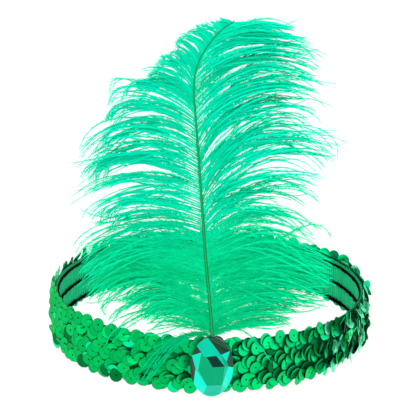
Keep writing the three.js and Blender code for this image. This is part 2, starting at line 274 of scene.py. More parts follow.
def stone_material():
    material, nodes, links = new_material("stone_crown")
    shader = nodes["Principled BSDF"]
    shader.inputs["Metallic"].default_value = 1.0
    shader.inputs["Roughness"].default_value = 0.15
    shader.inputs["Coat Weight"].default_value = 0.15
    shader.inputs["Coat Roughness"].default_value = 0.03
    attribute = nodes.new("ShaderNodeVertexColor")
    attribute.layer_name = "tint"
    cloud = noise(nodes, links, 260, 3)
    mix = nodes.new("ShaderNodeMix")
    mix.data_type = "RGBA"
    mix.blend_type = "MULTIPLY"
    mix.inputs["Factor"].default_value = 0.2
    links.new(attribute.outputs["Color"], mix.inputs["A"])
    links.new(cloud.outputs["Color"], mix.inputs["B"])
    links.new(mix.outputs["Result"], shader.inputs["Base Color"])
    return material


def quill_material():
    material, nodes, links = new_material("quill_shaft")
    shader = nodes["Principled BSDF"]
    shader.inputs["Roughness"].default_value = 0.5
    shader.inputs["Specular IOR Level"].default_value = 0.25
    tinted(nodes, links, (0.0, 0.14, 0.03), (0.0, 0.42, 0.11))
    return material


def barb_material():
    material, nodes, links = new_material("plume_barbs")
    shader = nodes["Principled BSDF"]
    shader.inputs["Roughness"].default_value = 0.8
    shader.inputs["Specular IOR Level"].default_value = 0.04
    coloured(nodes, links)
    return material


FABRIC = fabric_material()
ELASTIC = elastic_material()
SEQUIN = sequin_material()
THREAD = thread_material("sewing_thread", (0.06, 0.42, 0.22), 0.3)
# Near-black knots: painted shade of the holes
KNOT = thread_material("knot_in_painted_hole_shade", (0.0, 0.004, 0.001), 0.0)
STONE = stone_material()
QUILL = quill_material()
BARBS = barb_material()


# Ribbed fabric band
RIB_COUNT = 280
RIB_POINTS = 8
RIB_DEPTH = 0.35 * MM
BOUND_EDGE = 0.5 * MM
BOUND_TONE = 0.7
# Painted shade: the outer face, under the sequins, is darkened
OUTER_FACE_PAINTED_SHADE = 0.25
# Painted shade: the furrows between the ribs are darker
FURROW_PAINTED_SHADE = 0.4
PALEST_RIB, DARKEST_RIB = 1.0, 0.8


def fabric_band():
    columns = RIB_COUNT * RIB_POINTS
    turn = np.arange(columns) / columns
    rib = np.abs(np.cos(np.arange(columns) / RIB_POINTS * math.pi)) ** 0.7
    rib_tone = np.random.default_rng(5).uniform(DARKEST_RIB, PALEST_RIB, RIB_COUNT).repeat(RIB_POINTS)
    low, high = fabric_low.z, fabric_high.z
    edges = [low, low + BOUND_EDGE, low + 1.05 * BOUND_EDGE]
    heights = np.array([*edges, (low + high) / 2, *[low + high - z for z in edges[::-1]], high, low])
    inner = np.array([True] * 7 + [False] * 2)
    bound = np.minimum(heights - low, high - heights) < 1.01 * BOUND_EDGE
    points, tints = [], []
    for height, inside, dark in zip(heights, inner, bound):
        out = RIB_DEPTH * (1 - rib) if inside else FABRIC_WALL - RIB_DEPTH * (1 - rib)
        points.append(band_point(turn, out, height))
        # The outer face's darker tone is painted shade
        face_tone_and_shade = BOUND_TONE if dark and inside else 1.0 if inside else OUTER_FACE_PAINTED_SHADE
        # The furrows are darkened as painted shade
        tints.append((FURROW_PAINTED_SHADE + (1 - FURROW_PAINTED_SHADE) * rib) * rib_tone * face_tone_and_shade)
    points = np.stack(points)
    faces = grid_faces(len(heights), columns, True, True)
    piece = mesh_piece("ribbed_band", points, faces, FABRIC, tints=np.stack(tints).reshape(-1, 1))
    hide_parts("band_fabric")


# Elastic lines: a flat core with two zigzag threads stitched over it
ELASTIC_CORE = 0.45 * MM
ELASTIC_CORE_HEIGHT = 1.3 * MM
STITCHES_ROUND = 160
STITCH_POINTS = 4
STITCH_RADIUS = 0.3 * MM


def elastic_line(name, node, height, stitch_reach, rng):
    columns = STITCHES_ROUND
    turn = np.arange(columns) / columns
    half = ELASTIC_CORE_HEIGHT / 2
    back = -0.5 * CLEARANCE
    front = back - ELASTIC_CORE
    section = [(back, -half), (back, half), (front, half * 0.8), (front, -half * 0.8)]
    wobble = rng.uniform(-0.12, 0.12, columns) * MM
    core = np.stack([band_point(turn, np.full(columns, out), height + up + wobble) for out, up in section])
    core_faces = grid_faces(len(section), columns, True, True)[:, ::-1].tolist()
    steps = STITCHES_ROUND * STITCH_POINTS
    phase = np.arange(steps) / STITCH_POINTS
    stitch_turn = np.arange(steps) / steps
    points, faces = [core.reshape(-1, 3)], core_faces
    offset = len(points[0])
    for lead in (0.0, 0.5):
        wave = np.sin((phase + lead) * 2 * math.pi)
        reach = stitch_reach * (1 + np.repeat(rng.uniform(-0.6, 0.6, STITCHES_ROUND), STITCH_POINTS))
        out = back - ELASTIC_CORE - STITCH_RADIUS * (0.4 + 0.5 * np.cos((phase + lead) * 2 * math.pi))
        line = band_point(stitch_turn, out, height + wave * reach)
        outward, _ = band_axes(stitch_turn)
        over = np.array([0, 0, STITCH_RADIUS])
        ring = [outward * STITCH_RADIUS, over, -outward * STITCH_RADIUS, -over]
        tube = np.stack([line + corner for corner in ring])
        faces = faces + (grid_faces(len(ring), steps, True, True)[:, ::-1] + offset).tolist()
        points.append(tube.reshape(-1, 3))
        offset += len(points[-1])
    piece = mesh_piece(name, np.concatenate(points), faces, ELASTIC)
    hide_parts(node)


# Sequins: cupped discs with a hole, strung on three zigzag threads
SEQUIN_RADIUS = 3.5 * MM
SEQUIN_HOLE = 0.5 * MM
SEQUIN_FILM = 0.12 * MM
SEQUIN_CUP = 0.08 * MM
SEQUIN_SIDES = 16
SEQUINS_IN_CHAIN = 255
ZIGZAG_PERIODS = 66
OUTER_RISE = 3.1 * MM
MIDDLE_RISE = 3.0 * MM
OUTER_SHIFT = 1.1 * MM
SHINGLE_TILT_DEG = 16
DISC_STAND_OFF = 0.3 * MM
COVER_INNER = FABRIC_WALL + CLEARANCE
STITCH_THREAD = 0.2 * MM
STITCH_THREAD_LENGTH = 1.3 * MM
KNOT_RADIUS = 0.6 * MM
FLATTER_TILT_DEG = 3
FLUTTER_DEG = 5.5
NOD_SHARE = 1.4
TOP_EDGE_LIFT = 0.5 * MM
BRIGHT_SHARE = 0.05
DARK_SHARE = 0.04
RIM_SHADE = 0.25
# Painted light: discs go from the darker left green to the lighter right green, though the film is one green
LEFT_GREEN = np.array([0.0, 0.5, 0.105])
RIGHT_GREEN = np.array([0.0, 0.8, 0.23])
MINT_GREEN = np.array([0.0, 0.8, 0.32])
DARK_GREEN = np.array([0.0, 0.17, 0.035])
# GLINT is the pale colour of painted glints
GLINT = np.array([0.16, 0.85, 0.5])


def sequin_shape():
    """One disc about its own axis Z: points and faces, cupped, with a hole, closed round both edges."""
    angle = np.arange(SEQUIN_SIDES) / SEQUIN_SIDES * 2 * math.pi
    profile = [
        (SEQUIN_HOLE, -SEQUIN_CUP + SEQUIN_FILM / 2),
        (0.6 * SEQUIN_RADIUS, -0.75 * SEQUIN_CUP + SEQUIN_FILM / 2),
        (0.9 * SEQUIN_RADIUS, -0.2 * SEQUIN_CUP + SEQUIN_FILM / 2),
        (SEQUIN_RADIUS, SEQUIN_FILM / 2),
        (SEQUIN_RADIUS, -SEQUIN_FILM / 2),
        (SEQUIN_HOLE, -SEQUIN_CUP - SEQUIN_FILM / 2),
    ]
    rings = [np.stack([r * np.cos(angle), r * np.sin(angle), z + 0 * angle], -1) for r, z in profile]
    return np.concatenate(rings), grid_faces(len(rings), SEQUIN_SIDES, True, True)


def zigzag_thread(height, rise, rng):
    """Turns and heights of one chain's holes, at nearly even steps along its zigzag thread."""
    corner = np.arange(2 * ZIGZAG_PERIODS + 1)
    lean = np.concatenate([rng.uniform(-0.16, 0.16, 2 * ZIGZAG_PERIODS), [0]])
    lean[-1] = lean[0]
    corner_turn = (corner + lean) / (2 * ZIGZAG_PERIODS)
    corner_up = np.where(corner % 2 == 0, -1.0, 1.0) * rise * (1 - np.abs(lean) * 0.9)
    girth = 2 * math.pi * HEAD_HALF_WIDTH
    step = np.hypot(np.diff(corner_turn) * girth, np.diff(corner_up))
    length = np.concatenate([[0], np.cumsum(step)])
    at = np.arange(SEQUINS_IN_CHAIN) + rng.uniform(-0.14, 0.14, SEQUINS_IN_CHAIN)
    at = (at + 0.2) / SEQUINS_IN_CHAIN * length[-1]
    turn = np.interp(at, length, corner_turn)
    up = np.interp(at, length, corner_up)
    slope = np.interp(at, (length[1:] + length[:-1]) / 2, np.diff(corner_up) / step)
    return turn, height + up, slope


def chain_layout(height, rise, nod, rng):
    """Places and tilts of one chain's discs: turns, stand-offs, heights and three axes for each."""
    turn, heights, slope = zigzag_thread(height, rise, rng)
    count = len(turn)
    outward, sideways = band_axes(turn)
    upward = np.broadcast_to([0.0, 0.0, 1.0], outward.shape)
    along = sideways * np.sqrt(1 - (0.75 * slope) ** 2)[:, None] + upward * (0.75 * slope)[:, None]
    left_half = np.clip(-np.sin(turn * 2 * math.pi) * 1.6, 0, 1)
    tilt = SHINGLE_TILT_DEG - FLATTER_TILT_DEG * left_half
    flutter = FLUTTER_DEG * (1 + 0.4 * left_half + np.clip(np.sin(turn * 2 * math.pi) * 2.6 - 1.3, 0, 1))
    tilt = np.radians(np.clip(tilt + rng.normal(0, flutter, count), 4, 40))
    nod = np.radians(rng.normal(nod, NOD_SHARE * flutter, count))
    normal = outward * np.cos(tilt)[:, None] + along * np.sin(tilt)[:, None] + upward * np.sin(nod)[:, None]
    normal /= np.linalg.norm(normal, axis=-1, keepdims=True)
    first = along - normal * (along * normal).sum(-1, keepdims=True)
    first /= np.linalg.norm(first, axis=-1, keepdims=True)
    second = np.cross(normal, first)
    out = COVER_INNER + SEQUIN_RADIUS * np.sin(tilt) + DISC_STAND_OFF
    return turn, out, heights, first, second, normal


def under_front_piece(place):
    """Whether a disc lies behind the stone or the foot of the plume, where it is pressed flat."""
    middle = (gem_low + gem_high) / 2
    across = (place[:, 0] - middle.x) / (gem_high.x - middle.x)
    up = (place[:, 2] - middle.z) / (gem_high.z - middle.z)
    behind_stone = across**2 + up**2 < 1.15
    behind_foot = (np.abs(across) < 0.55) & (up > 0)
    return (place[:, 1] < 0) & (behind_stone | behind_foot)


def sequin_chain(name, height, chain):
    rng = np.random.default_rng(chain["seed"])
    turn, out, heights, first, second, normal = chain_layout(height, chain["rise"], chain["nod"], rng)
    heights = heights + chain["back_lift"] * ease(-np.cos(turn * 2 * math.pi), 0.0, 0.5)
    place = band_point(turn, out, heights)
    pressed = under_front_piece(place)
    outward, sideways = band_axes(turn)
    upward = np.broadcast_to([0.0, 0.0, 1.0], outward.shape)
    place[pressed] = band_point(turn, COVER_INNER + 0.5 * MM + 0 * out, heights)[pressed]
    flat_normal = outward * 0.995 + sideways * 0.1
    normal[pressed], first[pressed] = flat_normal[pressed], sideways[pressed]
    second[pressed] = upward[pressed]
    shape, faces = sequin_shape()
    points = (
        place[:, None]
        + shape[None, :, 0, None] * first[:, None]
        + shape[None, :, 1, None] * second[:, None]
        + shape[None, :, 2, None] * normal[:, None]
    )
    points[..., 2] = np.clip(points[..., 2], 0.0, None)
    all_faces = (faces[None] + np.arange(len(place))[:, None, None] * len(shape)).reshape(-1, 4)
    tints = sequin_colours(turn, chain["light"], rng).reshape(-1, 4)
    piece = mesh_piece(name, points, all_faces, SEQUIN, smooth=False, tints=tints)
    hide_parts("sequin_cover")
    chain_stitches(name, place[~pressed], first[~pressed], second[~pressed], normal[~pressed], rng)


def sequin_colours(turn, light, rng):
    """Each disc's colours with painted light: lighter to the right and up, painted glints far right and at
    the back, back faces in painted shade and a painted shade line round the rims; alpha lifts the painted
    crevice shade and makes a disc glow.
    """
    count = len(turn)
    right = np.clip(np.sin(turn * 2 * math.pi) * 2 + 0.6, 0, 1)
    far_right = np.clip(np.sin(turn * 2 * math.pi) * 2.6 - 1.3, 0, 1)
    at_the_back = np.cos(turn * 2 * math.pi) < 0.05
    # Painted light: lighter towards the right and on chains given more light
    lightness = (right * (0.45 + 0.55 * light))[:, None]
    colours = LEFT_GREEN + (RIGHT_GREEN - LEFT_GREEN) * lightness
    colours = colours * rng.normal(1, 0.1, count)[:, None]
    chance = rng.random(count)
    # Far right, more mint, dark and glint discs: painted glitter of reflections
    colours[chance < BRIGHT_SHARE + 0.2 * far_right] = MINT_GREEN
    colours[chance > 1 - DARK_SHARE - 0.25 * far_right] = DARK_GREEN
    glint = (chance > 0.3) & (chance < 0.3 + 0.45 * far_right**2)
    colours[glint] = GLINT
    # At the back most discs are mint at random darkness, the rest painted glints
    plain = at_the_back & ((chance < 0.3) | (chance > 0.42))
    colours[plain] = MINT_GREEN * rng.normal(0.7, 0.22, count)[plain, None]
    colours[at_the_back & ~plain] = GLINT
    # Back faces in painted shade, near black, lifted at random far right as painted glints, and full colour
    # at the back
    behind = 0.05 + far_right * rng.choice([0.0, 0.7, 1.0], count)
    behind = np.where(at_the_back, 1.0, behind)[:, None] * np.ones(2 * SEQUIN_SIDES)
    # A painted shade line round each disc's top rim, fading out far right
    rim = (RIM_SHADE + (1 - RIM_SHADE) * far_right)[:, None] * np.ones(SEQUIN_SIDES)
    shade = np.concatenate([np.ones((count, 3 * SEQUIN_SIDES)), rim, behind], 1)
    # Alpha lifts the painted crevice shade and sets the painted glow: glints and some other discs far right,
    # a little at the back
    alpha = np.where(at_the_back, 0.05, far_right * (1.0 * glint + 0.5 * (chance < 0.2)))
    alpha = np.broadcast_to(alpha[:, None, None], (count, 6 * SEQUIN_SIDES, 1))
    return np.concatenate([np.clip(colours[:, None] * shade[..., None], 0, 1), alpha], -1)


def chain_stitches(name, place, first, second, normal, rng):
    """What holds each disc: a knot in its hole, near-black as painted shade of the hole, and on some discs a
    short thread from the hole over its edge.
    """
    ring = np.arange(6) / 6 * 2 * math.pi
    rim = KNOT_RADIUS * (first[:, None] * np.cos(ring)[:, None] + second[:, None] * np.sin(ring)[:, None])
    middle = place - normal * SEQUIN_CUP
    top, under = middle + normal * (0.12 * MM), middle - normal * (0.3 * MM)
    knots = np.concatenate([middle[:, None] + rim, top[:, None], under[:, None]], 1)
    k = np.arange(6)
    one = [(a, (a + 1) % 6, 6) for a in k] + [((a + 1) % 6, a, 7) for a in k]
    faces = (np.array(one)[None] + np.arange(len(knots))[:, None, None] * 8).reshape(-1, 3)
    points = knots.reshape(-1, 3)
    knot = mesh_piece(f"knots_{name}", points, faces, KNOT)
    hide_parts("sequin_cover")
    seen = rng.random(len(place)) < 0.45
    start = place + normal * (0.12 * MM)
    end = place + first * STITCH_THREAD_LENGTH - normal * (0.25 * MM)
    bend = (start + end) / 2 + normal * (0.25 * MM)
    paths = np.stack([start, bend, end], 1)[seen]
    thread_points, thread_faces = tubes(paths, np.full(paths.shape[:2], STITCH_THREAD / 2), 4)
    thread = mesh_piece(f"thread_{name}", thread_points, thread_faces, THREAD)
    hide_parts("sequin_cover")


# The stone: points of its front as shares of its half width and half height, and how far forward, 0 at the
# girdle and 1 on the table; then the facets between them, each with a painted reflection: a fixed tone of
# light or shade
STONE_GIRDLE = 1.4 * MM
STONE_RIM = 32
STONE_POINTS = {
    "table_top_left": (-0.4, 0.484, 1),
    "table_top_right": (0.41, 0.52, 1),
    "table_right": (0.598, 0.134, 1),
    "table_low_right": (0.49, -0.5, 1),
    "table_low_left": (-0.22, -0.525, 1),
    "table_left": (-0.626, 0.006, 1),
    "mirror_top_left": (-0.252, 0.452, 1),
    "mirror_top_right": (0.196, 0.492, 1),
    "mirror_low": (0.047, 0.096, 1),
    "crown_top_left": (-0.48, 0.57, 0.75),
    "crown_top_right": (0.675, 0.29, 0.8),
    "crown_right": (0.765, 0.09, 0.6),
    "crown_left": (-0.74, -0.01, 0.65),
}
FACET_PAINTED_REFLECTIONS = {
    "shade": (0.03, 0.08, 0.05),
    "deep": (0.0, 0.04, 0.025),
    "table": (0.0, 0.42, 0.19),
    "teal": (0.0, 0.62, 0.4),
    "bright": (0.0, 0.78, 0.5),
    "flash": (0.0, 1.0, 0.75),
}
# Rim points are numbered clockwise from the top
STONE_FACETS = [
    ("table", ["table_top_left", "mirror_top_left", "mirror_low", "table_right", "table_low_right",
               "table_low_left", "table_left"]),
    ("deep", ["mirror_top_left", "mirror_top_right", "table_right", "mirror_low"]),
    ("teal", ["mirror_top_right", "table_top_right", "table_right"]),
    ("bright", ["table_top_left", "crown_top_left", 28, 29, 30, 31, "mirror_top_right", "mirror_top_left"]),
    ("bright", ["mirror_top_right", 31, "table_top_right"]),
    ("shade", [31, 0, 1, 2, 3, 4, 5, "table_top_right"]),
    ("flash", ["table_top_right", 5, "crown_top_right"]),
    ("table", ["table_top_right", "crown_top_right", "crown_right", "table_right"]),
    ("shade", [5, 6, 7, 8, "crown_right", "crown_top_right"]),
    ("flash", ["crown_right", 8, 9, 10, 11, 12, "table_low_right"]),
    ("teal", ["table_right", "crown_right", "table_low_right"]),
    ("bright", ["table_low_right", 12, 13, 14]),
    ("teal", ["table_low_right", 14, 15, 16, 17, 18, "table_low_left"]),
    ("flash", ["table_low_left", 18, 19, 20, 21, "crown_left"]),
    ("teal", ["table_low_left", "crown_left", "table_left"]),
    ("shade", ["crown_left", 21, 22, 23, 24, 25, 26]),
    ("bright", ["table_left", "crown_left", 26, "crown_top_left"]),
    ("table", ["table_top_left", "table_left", "crown_top_left"]),
    ("shade", ["crown_top_left", 26, 27, 28]),
]


def stone():
    middle = (gem_low + gem_high) / 2
    half_width, half_height = (gem_high.x - gem_low.x) / 2, (gem_high.z - gem_low.z) / 2
    back, front = gem_high.y, gem_low.y
    girdle = back - STONE_GIRDLE

    def rim(k, y):
        angle = k / STONE_RIM * 2 * math.pi
        return (middle.x + math.sin(angle) * half_width, y, middle.z + math.cos(angle) * half_height)

    def place(point):
        if isinstance(point, int):
            return rim(point, girdle)
        across, up, forward = STONE_POINTS[point]
        depth = girdle + (front - girdle) * forward
        return (middle.x + across * half_width, depth, middle.z + up * half_height)

    facets = [(FACET_PAINTED_REFLECTIONS[tone], [place(point) for point in points]) for tone, points in STONE_FACETS]
    # The back and the sides of the girdle get the painted shade tone
    facets.append((FACET_PAINTED_REFLECTIONS["shade"], [rim(k, back) for k in range(STONE_RIM)][::-1]))
    for k in range(STONE_RIM):
        around = [rim(k, back), rim(k + 1, back), rim(k + 1, girdle), rim(k, girdle)]
        facets.append((FACET_PAINTED_REFLECTIONS["shade"], around))
    facets = [(tone, outline[::-1]) for tone, outline in facets]
    mesh = bpy.data.meshes.new("oval_stone")
    corners = {}
    for _, outline in facets:
        for corner in outline:
            corners.setdefault(tuple(round(c, 8) for c in corner), len(corners))
    faces = [[corners[tuple(round(c, 8) for c in corner)] for corner in outline] for _, outline in facets]
    mesh.from_pydata(list(corners), [], faces)
    layer = mesh.color_attributes.new("tint", "FLOAT_COLOR", "CORNER")
    colours = [(*tone, 1.0) for tone, outline in facets for _ in outline]
    layer.data.foreach_set("color", np.array(colours, np.float32).ravel())
    mesh.materials.append(STONE)
    piece = bpy.data.objects.new("oval_stone", mesh)
    bpy.context.scene.collection.objects.link(piece)
    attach(piece, BODY)
    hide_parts("gem")


# The quill's course: up as a share of the plume's height, across as a share of its reach
PLUME_HEIGHT = 156 * MM
PLUME_REACH = 62 * MM
PLUME_LEAN = 7 * MM
QUILL_ROOT_DROP = 24 * MM
QUILL_BASE_RADIUS = 0.85 * MM
QUILL_TIP_RADIUS = 0.28 * MM
QUILL_FOOT_Y = (quill_low.y + gem_high.y) / 2
QUILL_FOOT_X = (gem_low.x + gem_high.x) / 2
QUILL_COURSE = [
    {"up": 0.012, "across": 0.026},
    {"up": 0.124, "across": 0.002},
    {"up": 0.257, "across": -0.033},
    {"up": 0.476, "across": -0.078},
    {"up": 0.7, "across": -0.124},
    {"up": 0.78, "across": -0.14},
    {"up": 0.84, "across": -0.128},
    {"up": 0.9, "across": -0.073},
    {"up": 0.965, "across": 0.045},
    {"up": 1.0, "across": 0.16},
]


def lean_at(share):
    return PLUME_LEAN * np.sin(math.pi * np.clip(share, 0, 1) * 0.75)


def smooth_line(points, steps):
    """A Catmull-Rom curve through the points, sampled at equal steps of its length."""
    points = np.asarray(points, float)
    padded = np.concatenate([[2 * points[0] - points[1]], points, [2 * points[-1] - points[-2]]])
    fine = []
    for k in range(len(points) - 1):
        a, b, c, d = padded[k : k + 4]
        t = np.linspace(0, 1, 24, endpoint=False)[:, None]
        fine.append(
            0.5 * (2 * b + (c - a) * t + (2 * a - 5 * b + 4 * c - d) * t**2 + (3 * b - a - 3 * c + d) * t**3)
        )
    fine = np.concatenate([*fine, points[-1:]])
    length = np.concatenate([[0], np.cumsum(np.linalg.norm(np.diff(fine, axis=0), axis=1))])
    at = np.linspace(0, length[-1], steps)
    return np.stack([np.interp(at, length, fine[:, k]) for k in range(3)], -1)


def quill_line():
    points = [
        (QUILL_FOOT_X, QUILL_FOOT_Y, BAND_TOP - QUILL_ROOT_DROP),
        (QUILL_FOOT_X * 0.8, QUILL_FOOT_Y, BAND_TOP - QUILL_ROOT_DROP / 2),
    ]
    points += [
        (row["across"] * PLUME_REACH, QUILL_FOOT_Y + lean_at(row["up"]), BAND_TOP + row["up"] * PLUME_HEIGHT)
        for row in QUILL_COURSE
    ]
    return smooth_line(points, 400)


QUILL_LINE = quill_line()
QUILL_SHARE = (QUILL_LINE[:, 2] - BAND_TOP) / PLUME_HEIGHT


def quill_at(share):
    """Points of the quill and its direction there, at shares of the plume's height."""
    place = np.stack([np.interp(share, QUILL_SHARE, QUILL_LINE[:, k]) for k in range(3)], -1)
    slope = np.gradient(QUILL_LINE, axis=0)
    along = np.stack([np.interp(share, QUILL_SHARE, slope[:, k]) for k in range(3)], -1)
    return place, along / np.linalg.norm(along, axis=-1, keepdims=True)


def quill():
    line = QUILL_LINE[::3]
    share = np.clip(QUILL_SHARE[::3], 0, 1)
    radii = QUILL_BASE_RADIUS + (QUILL_TIP_RADIUS - QUILL_BASE_RADIUS) * share
    sides = 12
    points, faces = tubes(line[None], radii[None], sides)
    # Lighter down the front and back of the shaft and darker at its sides: painted shading of the round shaft
    angle = np.tile(np.arange(sides) / sides * 2 * math.pi, len(line))
    middle = np.exp(-((np.cos(angle)) / 0.35) ** 2)
    piece = mesh_piece("quill_shaft", points, faces, QUILL, tints=(0.15 + 0.75 * middle)[:, None])
    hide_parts("quill")


# Barbs on each side, a row for each root from foot to tip. root and rise are shares of the plume's height,
# reach of its reach. leave and end are the angles above the horizontal at which a barb leaves the quill and
# ends, in degrees. curl is how far the ends turn away from that, and stir is how far whole locks do so.
BARB_COLUMNS = ["root", "reach", "rise", "leave", "end", "curl", "stir"]
LEFT_BARBS = [
    (0.0, 0.48, 0.01, 34, -44, 24, 11),
    (0.06, 0.6, 0.02, 31, -48, 20, 9),
    (0.12, 0.78, 0.012, 26, -48, 18, 7),
    (0.2, 1.0, -0.035, 19, -44, 16, 7),
    (0.3, 0.97, -0.05, 18, -40, 24, 8),
    (0.4, 0.95, -0.02, 24, -32, 30, 10),
    (0.5, 0.94, -0.02, 32, -48, 30, 10),
    (0.58, 0.94, -0.02, 37, -56, 28, 9),
    (0.64, 0.94, -0.03, 41, -60, 30, 8),
    (0.68, 0.76, -0.005, 45, -58, 34, 6),
    (0.72, 0.6, 0.035, 50, -50, 40, 6),
    (0.76, 0.44, 0.058, 55, -40, 60, 6),
    (0.8, 0.26, 0.072, 60, -20, 80, 6),
    (0.84, 0.165, 0.066, 68, -10, 90, 6),
    (0.89, 0.165, 0.05, 80, 0, 90, 6),
    (0.94, 0.13, 0.042, 98, 30, 80, 5),
    (0.99, 0.08, 0.016, 112, 90, 50, 4),
]
RIGHT_BARBS = [
    (0.0, 0.56, 0.05, 32, -16, 20, 9),
    (0.06, 0.74, 0.055, 32, -12, 20, 9),
    (0.12, 0.92, 0.035, 30, -12, 20, 9),
    (0.2, 1.0, 0.008, 29, -18, 20, 9),
    (0.25, 1.0, -0.01, 30, -22, 20, 8),
    (0.3, 1.0, 0.055, 52, -30, 26, 11),
    (0.36, 1.18, 0.05, 57, -38, 34, 15),
    (0.46, 1.2, 0.085, 60, -34, 36, 15),
    (0.58, 1.17, 0.11, 58, -26, 28, 11),
    (0.66, 1.05, 0.13, 54, -20, 16, 6),
    (0.74, 1.0, 0.115, 52, -18, 12, 4),
    (0.8, 0.95, 0.1, 52, -18, 10, 3),
    (0.86, 0.85, 0.075, 48, -14, 10, 3),
    (0.92, 0.68, 0.042, 38, -8, 9, 3),
    (0.97, 0.52, 0.008, 20, -6, 8, 3),
    (0.99, 0.48, -0.008, 6, -4, 8, 2),
]

# Spacing along the quill and widths of barbs
LEFT_SPACING = 0.37 * MM
RIGHT_SPACING = 0.33 * MM
UPPER_RIGHT_SPACING = 0.37 * MM
LOWER_SPACING = 0.27 * MM
FOOT_SPACING = 0.2 * MM
TUFT_SPACING = 0.24 * MM
TUFT_SHARE = 0.74
FOOT_SHARE = 0.07
FOOT_FAN_DEG = 24
DENSE_SHARE = 0.32
UPPER_SHARE = 0.62
PLUME_PARTS = {"lower": (0.0, DENSE_SHARE), "middle": (DENSE_SHARE, UPPER_SHARE), "upper": (UPPER_SHARE, 1.0)}
BARB_STEPS = 18
BARB_ROOT_RADIUS = 0.13 * MM
BARB_RADIUS = 0.36 * MM
BARB_TIP_RADIUS = 0.13 * MM
DOWNY_BARB_RADIUS = 0.26 * MM
BARB_SIDES = 3
BARB_WIDTH_STEPS = [0.0, 0.2, 0.5, 1.0]

# Locks that hang down over the band
HANGING_ROOT = 0.2
HANGING_SHARE = 0.2
HANGING_DROP = 26 * MM
LOWEST_BARB = 7 * MM
HANGING_REACH = 1.4
HANGING_LEAVE_DEG = 18
HANGING_END_DEG = 18

# How barbs gather in strands of a few, locks, and tresses of many
SMALLEST_LOCK = 2
LARGEST_LOCK = 6
LOCK_RISE_PER_DEG = 0.5 * MM
STRAND_SIZE = 3
STRAND_GATHER = 0.75
TRESS_SIZE = 14
TRESS_GATHER = 0.14
TRESS_RISE_PER_DEG = 0.5 * MM
LOCK_DEPTH = 4.5 * MM
DRIFT_SHARE = 0.06
DRIFT_PER_STIR = 0.25 * MM
OWN_RISE = 1.3 * MM
STRAY_SHARE = 0.15
ROOT_GATHER = 0.14
TIP_GATHER = 0.5

# Locks that sweep up, thinner ones and hooked ones
UPSWEPT_SHARE = 0.46
UPSWEPT_ROOTS = (0.28, 0.64)
UPSWEPT_RISE = 13 * MM
UPSWEPT_REACH = 0.72
OUTER_THINNING = 0.3
THINNED_FROM = 0.24
THINNEST_TO = 0.42
THINNING_FADE = 0.06
LEAVE_STIR = 0.22
UPSWEPT_LEAVE_DEG = 10
UPSWEPT_TONE = -1.5
HOOKED_SHARE = 0.3
HOOKED_ROOTS = (0.3, 0.8)
HOOKED_REACH = 0.86
HOOKED_END_DEG = 45

# Fine hairs along the barbs
BARBULE_SPACING = 0.36 * MM
DOWNY_SPACING = 0.3 * MM
BARBULE_LENGTH = 6.5 * MM
BARBULE_WIDTH = 0.17 * MM
BARE_LENGTH = 5 * MM

# Colours of the plume, and where low barbs drape over the band
LOWER_SHADE, LOWER_LIGHT = np.array([0.0, 0.46, 0.14]), np.array([0.0, 1.0, 0.5])
UPPER_SHADE, UPPER_LIGHT = np.array([0.0, 0.5, 0.22]), np.array([0.0, 1.0, 0.72])
BARB_TONE = 0.42
HAIR_TONE = 0.45
HAIR_TONE_SPREAD = 0.12
TONE_ALONG = 0.25
LOCK_TONE = 0.18
FOOT_SHADE = 0.35
FOOT_SHADE_SHARE = 0.1
DRAPE_HEIGHT = 22 * MM
DRAPE_STAND_OFF = 5.2 * MM


def barb_table(table, root, name):
    column = BARB_COLUMNS.index(name)
    return np.interp(root, [row[0] for row in table], [row[column] for row in table])


def downiness(root):
    """How downy the plume is: 1 near its foot and 0 above."""
    return 1 / (1 + np.exp((root - DENSE_SHARE) * 30))


def barb_roots(side, rng):
    """Shares of the plume's height where barbs leave the quill, closer together low down."""
    roots, at = [], 0.004
    while at < 0.995:
        roots.append(at)
        right = np.interp(at, [0.6, 0.7], [RIGHT_SPACING, UPPER_RIGHT_SPACING])
        upper = LEFT_SPACING if side < 0 else right
        spacing = upper + (LOWER_SPACING - upper) * downiness(at)
        if at < FOOT_SHARE:
            spacing = FOOT_SPACING
        if side < 0 and at > TUFT_SHARE:
            spacing = TUFT_SPACING
        _, along = quill_at(at)
        at += spacing / PLUME_HEIGHT * along[2] * rng.uniform(0.85, 1.15)
    return np.array(roots)


def lock_numbers(count, rng):
    """Which lock each barb belongs to."""
    sizes = rng.integers(SMALLEST_LOCK, LARGEST_LOCK + 1, count)
    return np.repeat(np.arange(count), sizes)[:count]


def drift_line(root, rng):
    """A smooth random line from -1 to 1 that gathers locks into larger clumps."""
    knots = np.arange(0, 1.2, DRIFT_SHARE)
    heights = rng.uniform(-1, 1, len(knots))
    at = root / DRIFT_SHARE
    low = at.astype(int)
    blend = (1 - np.cos((at - low) * math.pi)) / 2
    return heights[low] + (heights[low + 1] - heights[low]) * blend


def drape_front(x):
    """Where low barbs hang: just in front of the band's own curve."""
    half_width = HEAD_HALF_WIDTH + DRAPE_STAND_OFF + COVER_INNER
    half_depth = HEAD_HALF_DEPTH + DRAPE_STAND_OFF + COVER_INNER
    return RING_Y - half_depth * np.sqrt(np.clip(1 - (x / half_width) ** 2, 0, 1))


def bezier(a, b, c, d, t):
    a, b, c, d = (p[:, None] for p in (a, b, c, d))
    t = t[None, :, None]
    return a * (1 - t) ** 3 + 3 * b * t * (1 - t) ** 2 + 3 * c * t**2 * (1 - t) + d * t**3


def ease(value, start, end):
    """0 before start, 1 after end and a smooth rise between."""
    t = np.clip((value - start) / (end - start), 0, 1)
    return t * t * (3 - 2 * t)


def group_centres(paths, group):
    """For each path the mean path of its group."""
    return np.stack([paths[group == k].mean(0) for k in range(group.max() + 1)])[group]


